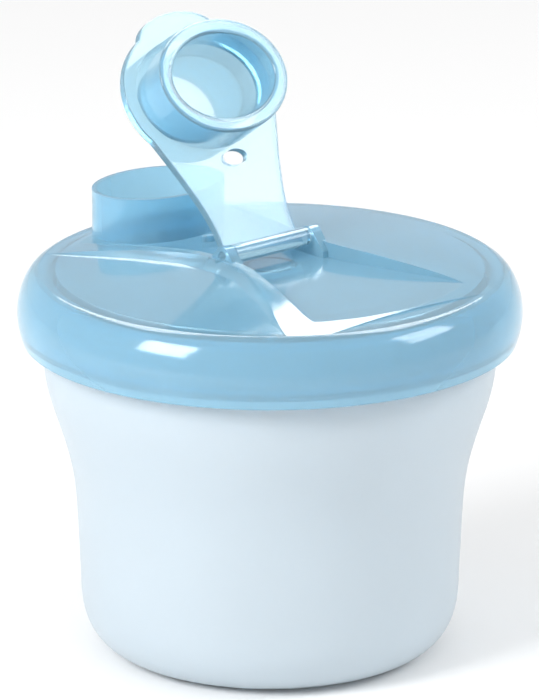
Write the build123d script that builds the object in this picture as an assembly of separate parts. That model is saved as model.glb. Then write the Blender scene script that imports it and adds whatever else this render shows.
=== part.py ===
from build123d import *
import os
from math import cos, radians, sin, sqrt

# Formula dispenser: a cup with three compartments, a lid that turns on its rim, and a flip cap over the lid's spout.
# Millimetres. The origin is the centre of the cup's base, +Z is up, and the front of the object faces -Y.
# The lid and the cap are drawn with the spout along +X and the cap shut, then turned to where they rest.

SPOUT_AZIMUTH = 131.0        # where the spout points, from +X, at rest
CAP_OPENING = 56.0           # how far the cap stands open at rest

# Cup
CUP_WALL = 1.3
CUP_FLOOR = 1.6
CUP_HEIGHT = 79.9
CUP_RIM_RADIUS = 48.0
CUP_WAIST_RADIUS = 41.2
CUP_CORNER = 13.0            # rounding between the floor and the side
FOOT_RECESS_RADIUS = 24.0
FOOT_RECESS_DEPTH = 0.7
CUP_RIM_ROUNDING = 0.4

# Divider
VANE_THICKNESS = 1.4
VANE_TOP = 74.0
VANE_AZIMUTHS = (-90.0, 30.0, 150.0)
VANE_GAP = 0.45              # between a vane's edge and the cup's wall
POST_RADIUS = 4.2
POST_HOLLOW_RADIUS = 2.6
POST_TOP = 80.5
POST_TOP_THICKNESS = 2.0
POST_ROUNDING = 1.2

# Lid
LID_WALL = 1.5
SKIRT_BOTTOM = 68.8
SKIRT_BOTTOM_RADIUS = 52.5
LID_RADIUS = 53.5
CREASE_RADIUS = 49.0         # where the domed top meets the rounded shoulder
CREASE_HEIGHT = 83.6
DOME_HEIGHT = 86.3
CREST_HEIGHT = 88.2          # the raised borders of the seat, at the hinge; they fade out at the crease
BORDER_WIDTH = 1.0           # flat top of a border
BORDER_SLOPE = 8.0           # how far a border's outer side would reach, from its top down to the crease
SEAT_FLOOR = 84.6            # floor of the shallow seat that the cap's arm folds into
SEAT_FLOOR_THICKNESS = 1.4
RIM_GAP = 0.3                # between the lid's guide ledge and the cup's rim
PLUG_RING_THICKNESS = 1.1
PLUG_RING_BOTTOM = 75.5
RING_TOP = 83.0              # where the rings under the lid run into its underside
STOP_RING_OVERHANG = 1.0     # how far the stop ring reaches outside the cup's rim
STOP_RING_TOP = 82.7
STOP_GAP = 0.1               # between the stop ring and the top of the cup's rim
LEDGE_BOTTOM = 70.6
LEDGE_TOP = 71.9
COLLAR_GAP = 0.4             # between the lid's collar and the divider's post
COLLAR_THICKNESS = 1.2
COLLAR_BOTTOM = 77.5

# Spout: an oval tube, long across the arm
SPOUT_X = 36.8
SPOUT_HALF_X = 11.6
SPOUT_HALF_Y = 15.6
SPOUT_WALL = 0.9
SPOUT_TOP = 94.3

# Hinge
HINGE_X = 0.3
HINGE_Z = 88.4
PIN_RADIUS = 1.1
PIN_CLEARANCE = 0.08
PIN_LENGTH = 2.6
EAR_THICKNESS = 2.4
EAR_RADIUS = 2.2
EAR_TOE_X = 5.5
EAR_HEEL_X = -4.9
ARM_SIDE_GAP = 0.35          # between the arm and each ear

# Flip cap
ARM_HALF_WIDTH = 10.3
BARREL_RADIUS = 2.0
WEB_LENGTH = 2.2             # the web between the barrel and the plate
PLATE_BOTTOM = 84.95
PLATE_THICKNESS = 1.6
FLANGE_HALF_X = 16.3
FLANGE_HALF_Y = 19.9
TAB_X = 49.4
TAB_HALF_X = 5.8
TAB_HALF_Y = 10.8
SKIRT_CLEARANCE = 0.3        # round the outside of the spout, at the lip
SKIRT_FLARE = 0.3            # how much wider the cap's skirt is at its foot
CAP_WALL = 0.85
LIP_HEIGHT = 95.9
LIP_THICKNESS = 1.2
LIP_ROUNDING = 0.7
PLUG_CLEARANCE = 0.3
PLUG_TAPER = 0.6
PLUG_WALL = 0.8
PLUG_FLOOR_TOP = 83.6
PLUG_FLOOR_THICKNESS = 1.0
CATCH_HOLE_X = 21.2
CATCH_HOLE_Y = -2.0
CATCH_HOLE_HALF_X = 1.8
CATCH_HOLE_HALF_Y = 3.2
CATCH_GAP = 0.5              # between the hole's edge and the lid's catch
CATCH_HEIGHT = 1.5
CATCH_ROUNDING = 0.4
PLATE_EDGE_ROUNDING = 0.35


def sphere_radius(rise, reach):
    """Radius of the sphere whose cap is `rise` high over a circle of radius `reach`."""
    return (rise * rise + reach * reach) / (2 * rise)


def ring(inner, outer, bottom, top):
    """An upright round ring."""
    body = Cylinder(outer, top - bottom, align=(Align.CENTER, Align.CENTER, Align.MIN))
    hole = Cylinder(inner, top - bottom, align=(Align.CENTER, Align.CENTER, Align.MIN))
    return Pos(0, 0, bottom) * (body - hole)


def spin(outline):
    """The solid made by turning a closed outline in the XZ plane about Z."""
    return revolve(make_face(outline), Axis.Z, 360)


def oval_prism(x, half_x, half_y, bottom, top, top_half_x=None, top_half_y=None):
    """An upright oval block, its top oval the same as its foot unless another size is given."""
    foot = Plane.XY.offset(bottom) * Pos(x, 0) * Ellipse(half_x, half_y)
    if top_half_x is None:
        return extrude(foot, top - bottom)
    head = Plane.XY.offset(top) * Pos(x, 0) * Ellipse(top_half_x, top_half_y)
    return loft([foot, head])


# ---------------------------------------------------------------- cup

def cup_side_points(inset):
    """The cup's side from the corner up to the rim, moved in by `inset`."""
    side = (
        (40.4, CUP_CORNER + 1.0),
        (40.8, 23.0),
        (CUP_WAIST_RADIUS, 32.0),
        (42.3, 41.0),
        (44.8, 50.0),
        (47.0, 57.0),
    )
    return [(radius - inset, height) for radius, height in side]


def cup_block(inset, bottom, top):
    """The cup's outer or inner form as a solid, `inset` inside its outer face."""
    side = cup_side_points(inset)
    corner_start = (side[0][0] - CUP_CORNER + inset, bottom)
    rim_start = (CUP_RIM_RADIUS - inset, 64.0)
    wall = Spline(*[Vector(r, 0, z) for r, z in side + [rim_start]], tangents=[(0.02, 0, 1), (0, 0, 1)])
    corner = Spline(
        (corner_start[0], 0, bottom), (side[0][0], 0, side[0][1]), tangents=[(1, 0, 0), (0.02, 0, 1)]
    )
    outline = Curve() + [
        Line((0, 0, bottom), (corner_start[0], 0, bottom)),
        corner,
        wall,
        Line((rim_start[0], 0, rim_start[1]), (rim_start[0], 0, top)),
        Line((rim_start[0], 0, top), (0, 0, top)),
        Line((0, 0, top), (0, 0, bottom)),
    ]
    return spin(outline)


def make_cup():
    shell = cup_block(0, 0, CUP_HEIGHT) - cup_block(CUP_WALL, CUP_FLOOR, CUP_HEIGHT + 1)
    recess = Cylinder(FOOT_RECESS_RADIUS, FOOT_RECESS_DEPTH, align=(Align.CENTER, Align.CENTER, Align.MIN))
    cup = shell - recess
    rim_edges = cup.edges().filter_by(GeomType.CIRCLE).group_by(Axis.Z)[-1]
    return fillet(rim_edges, CUP_RIM_ROUNDING)


# ---------------------------------------------------------------- divider

def make_divider():
    reach = CUP_WALL + VANE_GAP
    room = cup_block(reach, CUP_FLOOR + VANE_GAP, VANE_TOP)
    vanes = Part()
    for azimuth in VANE_AZIMUTHS:
        slab = Box(60, VANE_THICKNESS, 100, align=(Align.MIN, Align.CENTER, Align.MIN))
        vanes += Rot(0, 0, azimuth) * slab
    vanes = vanes & room
    post = Cylinder(POST_RADIUS, POST_TOP - CUP_FLOOR - VANE_GAP, align=(Align.CENTER, Align.CENTER, Align.MIN))
    post = Pos(0, 0, CUP_FLOOR + VANE_GAP) * post
    post = fillet(post.edges().group_by(Axis.Z)[-1], POST_ROUNDING)
    hollow_top = POST_TOP - POST_TOP_THICKNESS
    hollow = Cylinder(POST_HOLLOW_RADIUS, hollow_top, align=(Align.CENTER, Align.CENTER, Align.MIN))
    return vanes + post - hollow


# ---------------------------------------------------------------- lid

def lid_outer():
    """The lid's outside as a solid: skirt, rounded shoulder and dome."""
    dome_radius = sphere_radius(DOME_HEIGHT - CREASE_HEIGHT, CREASE_RADIUS)
    mid_radius = CREASE_RADIUS / 2
    mid_height = DOME_HEIGHT - dome_radius + sqrt(dome_radius**2 - mid_radius**2)
    shoulder = Spline(
        (SKIRT_BOTTOM_RADIUS, 0, SKIRT_BOTTOM),
        (LID_RADIUS, 0, 73.5),
        (53.0, 0, 78.2),
        (51.6, 0, 81.4),
        (CREASE_RADIUS, 0, CREASE_HEIGHT),
        tangents=[(0.35, 0, 1), (-1, 0, 0.45)],
    )
    outline = Curve() + [
        Line((0, 0, SKIRT_BOTTOM), (SKIRT_BOTTOM_RADIUS, 0, SKIRT_BOTTOM)),
        shoulder,
        ThreePointArc((CREASE_RADIUS, 0, CREASE_HEIGHT), (mid_radius, 0, mid_height), (0, 0, DOME_HEIGHT)),
        Line((0, 0, DOME_HEIGHT), (0, 0, SKIRT_BOTTOM)),
    ]
    return spin(outline)


def lid_inner():
    """The space under the lid as a solid, one wall inside the outer form."""
    dome_radius = sphere_radius(DOME_HEIGHT - CREASE_HEIGHT, CREASE_RADIUS) - LID_WALL
    dome_centre = DOME_HEIGHT - LID_WALL - dome_radius
    edge_radius = CREASE_RADIUS - 0.6
    edge_height = dome_centre + sqrt(dome_radius**2 - edge_radius**2)
    mid_radius = edge_radius / 2
    mid_height = dome_centre + sqrt(dome_radius**2 - mid_radius**2)
    shoulder = Spline(
        (SKIRT_BOTTOM_RADIUS - LID_WALL, 0, SKIRT_BOTTOM - 1),
        (LID_RADIUS - LID_WALL, 0, 73.5),
        (51.4, 0, 77.8),
        (50.3, 0, 80.3),
        (edge_radius, 0, edge_height),
        tangents=[(0.3, 0, 1), (-1, 0, 0.45)],
    )
    bottom = SKIRT_BOTTOM - 1
    outline = Curve() + [
        Line((0, 0, bottom), (SKIRT_BOTTOM_RADIUS - LID_WALL, 0, bottom)),
        shoulder,
        ThreePointArc((edge_radius, 0, edge_height), (mid_radius, 0, mid_height), (0, 0, dome_centre + dome_radius)),
        Line((0, 0, dome_centre + dome_radius), (0, 0, bottom)),
    ]
    return spin(outline)


def seat_outline(margin):
    """The seat seen from above: narrow at the hinge and flared towards both ends, `margin` bigger all round."""
    half = [(0, 12.0), (7, 12.3), (13, 13.9), (21, 16.3), (29, 18.9), (36, 20.8), (44, 21.4)]
    right = [(x, y + margin) for x, y in half]
    left = [(-x, y) for x, y in reversed(right[1:])]
    near = Spline(*(left + right), tangents=[(1, -0.05), (1, 0.05)])
    far = mirror(near, about=Plane.XZ)
    ends = [Line(near @ t, far @ t) for t in (0, 1)]
    return make_face(Curve() + [near, far] + ends)


def raised_borders():
    """The seat's borders: low banks with a narrow top and a sloping outer side, highest at the hinge."""
    crest_radius = sphere_radius(CREST_HEIGHT - CREASE_HEIGHT, CREASE_RADIUS)
    mid_radius = CREASE_RADIUS / 2
    mid_height = CREST_HEIGHT - crest_radius + sqrt(crest_radius**2 - mid_radius**2)
    foot = CREASE_HEIGHT - 0.4
    limit = spin(
        Curve() + [
            Line((0, 0, foot), (CREASE_RADIUS, 0, foot)),
            Line((CREASE_RADIUS, 0, foot), (CREASE_RADIUS, 0, CREASE_HEIGHT)),
            ThreePointArc((CREASE_RADIUS, 0, CREASE_HEIGHT), (mid_radius, 0, mid_height), (0, 0, CREST_HEIGHT)),
            Line((0, 0, CREST_HEIGHT), (0, 0, foot)),
        ]
    )
    bank = loft([
        Plane.XY.offset(foot) * seat_outline(BORDER_WIDTH + BORDER_SLOPE),
        Plane.XY.offset(CREST_HEIGHT + 0.2) * seat_outline(BORDER_WIDTH),
    ])
    return bank & limit


def hinge_ears():
    """Two lugs that stand beside the arm and hold its pins, each faired forwards into the lid."""
    inner_face = ARM_HALF_WIDTH + ARM_SIDE_GAP
    foot = SEAT_FLOOR - SEAT_FLOOR_THICKNESS
    round_head = Pos(HINGE_X, HINGE_Z) * Circle(EAR_RADIUS)
    toe = Polygon(
        (EAR_HEEL_X, foot),
        (EAR_TOE_X, foot),
        (EAR_TOE_X, DOME_HEIGHT - 0.3),
        (HINGE_X + EAR_RADIUS * sin(radians(25)), HINGE_Z + EAR_RADIUS * cos(radians(25))),
        (HINGE_X - EAR_RADIUS * sin(radians(40)), HINGE_Z + EAR_RADIUS * cos(radians(40))),
        (EAR_HEEL_X, DOME_HEIGHT - 0.3),
        align=None,
    )
    profile = Plane.XZ * (round_head + toe)
    ears = Part()
    for side in (-1, 1):
        ear = extrude(profile, EAR_THICKNESS)
        near_y = inner_face if side > 0 else -inner_face - EAR_THICKNESS
        ears += Pos(0, near_y + EAR_THICKNESS, 0) * ear
    hole = Cylinder(PIN_RADIUS + PIN_CLEARANCE, 60, rotation=(90, 0, 0))
    return ears, Pos(HINGE_X, 0, HINGE_Z) * hole


def make_lid():
    outer = lid_outer() + raised_borders()
    lid = outer - lid_inner()

    # the seat: a thin tub let into the dome, open where the dome falls away at its ends
    tub_bottom = SEAT_FLOOR - SEAT_FLOOR_THICKNESS
    tub = Plane.XY.offset(tub_bottom) * seat_outline(SEAT_FLOOR_THICKNESS)
    lid += extrude(tub, 10) & outer
    seat = Plane.XY.offset(SEAT_FLOOR) * seat_outline(0)
    lid -= extrude(seat, 20)

    # the spout and its bore
    lid += oval_prism(SPOUT_X, SPOUT_HALF_X, SPOUT_HALF_Y, tub_bottom, SPOUT_TOP)
    lid -= oval_prism(SPOUT_X, SPOUT_HALF_X - SPOUT_WALL, SPOUT_HALF_Y - SPOUT_WALL, 70, SPOUT_TOP + 1)

    # hinge ears
    ears, pin_hole = hinge_ears()
    lid = lid + ears - pin_hole

    # the catch that clicks into the arm's hole when the cap is shut
    catch = Plane.XY.offset(SEAT_FLOOR - 0.5) * Pos(CATCH_HOLE_X, CATCH_HOLE_Y) * Ellipse(
        CATCH_HOLE_HALF_X - CATCH_GAP, CATCH_HOLE_HALF_Y - CATCH_GAP
    )
    catch = extrude(catch, CATCH_HEIGHT + 0.5)
    lid += fillet(catch.edges().group_by(Axis.Z)[-1], CATCH_ROUNDING)

    # rings under the lid: a plug inside the cup's rim, a stop on top of it, a guide ledge outside it,
    # and a collar round the divider's post
    plug_radius = CUP_RIM_RADIUS - CUP_WALL - RIM_GAP
    lid += ring(plug_radius - PLUG_RING_THICKNESS, plug_radius, PLUG_RING_BOTTOM, RING_TOP) - spout_shadow()
    stop = ring(plug_radius, CUP_RIM_RADIUS + STOP_RING_OVERHANG, CUP_HEIGHT + STOP_GAP, STOP_RING_TOP)
    lid += stop - spout_shadow()
    lid += ring(CUP_RIM_RADIUS + RIM_GAP, LID_RADIUS - 1.0, LEDGE_BOTTOM, LEDGE_TOP)
    collar_inner = POST_RADIUS + COLLAR_GAP
    lid += ring(collar_inner, collar_inner + COLLAR_THICKNESS, COLLAR_BOTTOM, tub_bottom + 0.2)
    return lid


def spout_shadow():
    """Where the plug ring and the stop ring are notched so that they don't cross the spout's bore."""
    return oval_prism(SPOUT_X, SPOUT_HALF_X - SPOUT_WALL, SPOUT_HALF_Y - SPOUT_WALL, 70, 90)


# ---------------------------------------------------------------- flip cap

def plate_outline():
    """The cap's plate seen from above: arm, oval flange round the spout, and thumb tab."""
    half = [(7, ARM_HALF_WIDTH + 0.1), (12, 11.3), (15.6, 12.4), (19, 13.5), (23, 15.0), (29.6, 17.6)]
    near = Spline((HINGE_X, ARM_HALF_WIDTH), *half, tangents=[(1, 0), (1, 0.42)])
    far = mirror(near, about=Plane.XZ)
    outline = make_face(Curve() + [near, far, Line(near @ 0, far @ 0), Line(near @ 1, far @ 1)])
    outline += Pos(SPOUT_X, 0) * Ellipse(FLANGE_HALF_X, FLANGE_HALF_Y)
    outline += Pos(TAB_X, 0) * Ellipse(TAB_HALF_X, TAB_HALF_Y)
    return outline


def make_flip_cap():
    plate_top = PLATE_BOTTOM + PLATE_THICKNESS
    plate = extrude(Plane.XY.offset(PLATE_BOTTOM) * plate_outline(), PLATE_THICKNESS)
    plate = fillet(plate.edges().group_by(Axis.Z)[-1].filter_by(GeomType.LINE, reverse=True), PLATE_EDGE_ROUNDING)

    # hinge end: a barrel across the arm, with a short web down to the plate, and a pin at each side
    barrel = Pos(HINGE_X, 0, HINGE_Z) * Cylinder(BARREL_RADIUS, 2 * ARM_HALF_WIDTH, rotation=(90, 0, 0))
    web = Pos(HINGE_X, 0, PLATE_BOTTOM) * Box(
        WEB_LENGTH, 2 * ARM_HALF_WIDTH, HINGE_Z - PLATE_BOTTOM, align=(Align.MIN, Align.CENTER, Align.MIN)
    )
    pin_span = 2 * (ARM_HALF_WIDTH + PIN_LENGTH)
    pins = Pos(HINGE_X, 0, HINGE_Z) * Cylinder(PIN_RADIUS, pin_span, rotation=(90, 0, 0))
    cap = plate + barrel + web + pins

    # skirt round the outside of the spout, closed by the lip, with the plug hanging inside it
    lip_x = SPOUT_HALF_X + SKIRT_CLEARANCE + CAP_WALL
    lip_y = SPOUT_HALF_Y + SKIRT_CLEARANCE + CAP_WALL
    foot_x = lip_x + SKIRT_FLARE
    foot_y = lip_y + SKIRT_FLARE
    skirt = oval_prism(SPOUT_X, foot_x, foot_y, PLATE_BOTTOM, LIP_HEIGHT, lip_x, lip_y)
    channel_x = foot_x - CAP_WALL
    channel_y = foot_y - CAP_WALL
    channel = oval_prism(
        SPOUT_X, channel_x, channel_y, PLATE_BOTTOM, LIP_HEIGHT - LIP_THICKNESS, lip_x - CAP_WALL, lip_y - CAP_WALL
    )
    plug_x = SPOUT_HALF_X - SPOUT_WALL - PLUG_CLEARANCE
    plug_y = SPOUT_HALF_Y - SPOUT_WALL - PLUG_CLEARANCE
    plug_bottom = PLUG_FLOOR_TOP - PLUG_FLOOR_THICKNESS
    plug = oval_prism(SPOUT_X, plug_x - PLUG_TAPER, plug_y - PLUG_TAPER, plug_bottom, LIP_HEIGHT, plug_x, plug_y)
    inside_x = plug_x - PLUG_WALL
    inside_y = plug_y - PLUG_WALL
    hollow = oval_prism(
        SPOUT_X, inside_x - PLUG_TAPER, inside_y - PLUG_TAPER, PLUG_FLOOR_TOP, LIP_HEIGHT + 1, inside_x, inside_y
    )
    cap = cap + skirt - channel + plug - hollow

    lip_edges = cap.edges().group_by(Axis.Z)[-1]
    cap = fillet(lip_edges, LIP_ROUNDING)

    catch_hole = Pos(CATCH_HOLE_X, CATCH_HOLE_Y, plate_top) * extrude(
        Ellipse(CATCH_HOLE_HALF_X, CATCH_HOLE_HALF_Y), 2 * PLATE_THICKNESS, both=True
    )
    return cap - catch_hole


def open_cap(cap):
    """The cap turned up about its hinge to where it rests."""
    to_hinge = Pos(-HINGE_X, 0, -HINGE_Z)
    from_hinge = Pos(HINGE_X, 0, HINGE_Z)
    return from_hinge * Rot(0, -CAP_OPENING, 0) * to_hinge * cap


spout_turn = Rot(0, 0, SPOUT_AZIMUTH)
nodes = {
    "cup": make_cup(),
    "divider": make_divider(),
    "lid": spout_turn * make_lid(),
    "flip_cap": spout_turn * open_cap(make_flip_cap()),
}
for name, shape in nodes.items():
    export_step(shape, f"parts/{name}.step")
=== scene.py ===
"""Formula dispenser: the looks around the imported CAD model. Metres, +Z up, the front faces -Y."""

import math

import bpy
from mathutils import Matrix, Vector

MM = 0.001

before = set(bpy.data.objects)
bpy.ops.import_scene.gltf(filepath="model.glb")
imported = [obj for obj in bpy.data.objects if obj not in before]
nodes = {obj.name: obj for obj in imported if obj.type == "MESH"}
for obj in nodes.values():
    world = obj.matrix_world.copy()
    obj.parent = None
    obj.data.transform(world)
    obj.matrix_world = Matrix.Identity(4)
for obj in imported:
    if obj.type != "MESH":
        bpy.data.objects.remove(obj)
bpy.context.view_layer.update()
scene = bpy.context.scene


# ---------------------------------------------------------------- camera

AIM = Vector((-0.1, -5.04, 66.9)) * MM
ELEVATION = math.radians(17.4)
DISTANCE = 1500 * MM
VIEW_WIDTH = 113.95 * MM          # what the frame's width spans at the object's axis
SENSOR_WIDTH = 36.0


def make_camera():
    data = bpy.data.cameras.new("camera")
    data.sensor_fit = "HORIZONTAL"
    data.sensor_width = SENSOR_WIDTH
    data.lens = SENSOR_WIDTH * DISTANCE / VIEW_WIDTH
    data.clip_start = 0.05
    data.clip_end = 50
    camera = bpy.data.objects.new("camera", data)
    scene.collection.objects.link(camera)
    camera.location = AIM + DISTANCE * Vector((0, -math.cos(ELEVATION), math.sin(ELEVATION)))
    camera.rotation_euler = (math.pi / 2 - ELEVATION, 0, 0)
    scene.camera = camera


# ---------------------------------------------------------------- stage

FLOOR_HALF = 6.0
FLOOR_GREY = 0.95
WORLD_STRENGTH = 0.75
LIGHTS_AIM = (0, 0, 0.06)
BACK_AIM = (0, 0, 0.08)


def make_floor():
    mesh = bpy.data.meshes.new("floor")
    corners = [(x * FLOOR_HALF, y * FLOOR_HALF, 0) for x, y in ((-1, -1), (1, -1), (1, 1), (-1, 1))]
    mesh.from_pydata(corners, [], [(0, 1, 2, 3)])
    floor = bpy.data.objects.new("floor", mesh)
    scene.collection.objects.link(floor)
    material = bpy.data.materials.new("floor")
    material.use_nodes = True
    shader = material.node_tree.nodes["Principled BSDF"]
    shader.inputs["Base Color"].default_value = (FLOOR_GREY, FLOOR_GREY, FLOOR_GREY, 1)
    shader.inputs["Roughness"].default_value = 0.9
    shader.inputs["Specular IOR Level"].default_value = 0.0
    mesh.materials.append(material)


def make_area_light(name, place, aim, size, power):
    """A rectangular lamp of `size` metres and `power` watts at `place`, facing `aim`."""
    data = bpy.data.lights.new(name, "AREA")
    data.shape = "RECTANGLE"
    data.size, data.size_y = size
    data.energy = power
    light = bpy.data.objects.new(name, data)
    scene.collection.objects.link(light)
    light.location = place
    light.rotation_euler = (Vector(aim) - Vector(place)).to_track_quat("-Z", "Y").to_euler()
    return light


def make_lights():
    world = bpy.data.worlds.new("world")
    world.use_nodes = True
    background = world.node_tree.nodes["Background"]
    background.inputs["Color"].default_value = (1, 1, 1, 1)
    background.inputs["Strength"].default_value = WORLD_STRENGTH
    scene.world = world
    make_area_light("key", (-0.67, -0.54, 0.6), LIGHTS_AIM, (0.4, 0.4), 7)
    make_area_light("fill", (0.93, -0.1, 0.72), LIGHTS_AIM, (0.5, 0.4), 4)
    # a large softbox behind and above, which the glossy dome mirrors; it lights nothing but the gloss
    back = make_area_light("back", (0, 0.72, 1.04), BACK_AIM, (1.2, 0.9), 27)
    back.visible_diffuse = False
    back.visible_transmission = False


# ---------------------------------------------------------------- materials

POLYPROPYLENE_IOR = 1.49
CLOUD_SCALE = 35                  # cloudiness of the colour and the gloss, per metre
GLOSS_SPREAD = 0.2                # how far the roughness strays either way, as a share of itself
GRAIN_STRENGTH = 0.3

BLUE = (0.47, 0.79, 0.96)
CLEAR_BLUE = (0.53, 0.81, 0.95)
MILK = (0.72, 0.82, 0.89)

# node: name, colour, roughness, transmission, grain per metre, height of the grain in metres, spread of the colour
PLASTICS = {
    "cup": ("cup_plastic", MILK, 0.35, 0.35, 900, 0.00005, 0.01),
    "divider": ("divider_plastic", MILK, 0.4, 0.2, 900, 0.00005, 0.01),
    "lid": ("lid_plastic", BLUE, 0.1, 0.7, 500, 0.00001, 0.02),
    "flip_cap": ("cap_plastic", CLEAR_BLUE, 0.08, 0.8, 500, 0.00001, 0.02),
}


def make_plastic(name, colour, roughness, transmission, grain, grain_height, spread):
    """Moulded plastic: an even colour with a slight cloudiness, a fine grain in the surface, and uneven gloss."""
    material = bpy.data.materials.new(name)
    material.use_nodes = True
    tree = material.node_tree
    shader = tree.nodes["Principled BSDF"]
    coordinates = tree.nodes.new("ShaderNodeTexCoord")

    cloud = tree.nodes.new("ShaderNodeTexNoise")
    cloud.inputs["Scale"].default_value = CLOUD_SCALE
    cloud.inputs["Detail"].default_value = 3
    tree.links.new(coordinates.outputs["Object"], cloud.inputs["Vector"])
    tint = tree.nodes.new("ShaderNodeValToRGB")
    tint.color_ramp.elements[0].position = 0.3
    tint.color_ramp.elements[1].position = 0.7
    tint.color_ramp.elements[0].color = [c * (1 - spread) for c in colour] + [1]
    tint.color_ramp.elements[1].color = [min(1, c * (1 + spread)) for c in colour] + [1]
    tree.links.new(cloud.outputs["Fac"], tint.inputs["Fac"])
    tree.links.new(tint.outputs["Color"], shader.inputs["Base Color"])

    uneven = tree.nodes.new("ShaderNodeMapRange")
    uneven.inputs["To Min"].default_value = roughness * (1 - GLOSS_SPREAD)
    uneven.inputs["To Max"].default_value = roughness * (1 + GLOSS_SPREAD)
    tree.links.new(cloud.outputs["Fac"], uneven.inputs["Value"])
    tree.links.new(uneven.outputs["Result"], shader.inputs["Roughness"])

    fine = tree.nodes.new("ShaderNodeTexNoise")
    fine.inputs["Scale"].default_value = grain
    fine.inputs["Detail"].default_value = 2
    tree.links.new(coordinates.outputs["Object"], fine.inputs["Vector"])
    bump = tree.nodes.new("ShaderNodeBump")
    bump.inputs["Strength"].default_value = GRAIN_STRENGTH
    bump.inputs["Distance"].default_value = grain_height
    tree.links.new(fine.outputs["Fac"], bump.inputs["Height"])
    tree.links.new(bump.outputs["Normal"], shader.inputs["Normal"])

    shader.inputs["IOR"].default_value = POLYPROPYLENE_IOR
    shader.inputs["Transmission Weight"].default_value = transmission
    return material


def dress(node, material):
    for slot in nodes[node].material_slots:
        slot.material = material


scene.view_settings.view_transform = "Standard"
make_camera()
make_floor()
make_lights()
for node, plastic in PLASTICS.items():
    dress(node, make_plastic(*plastic))
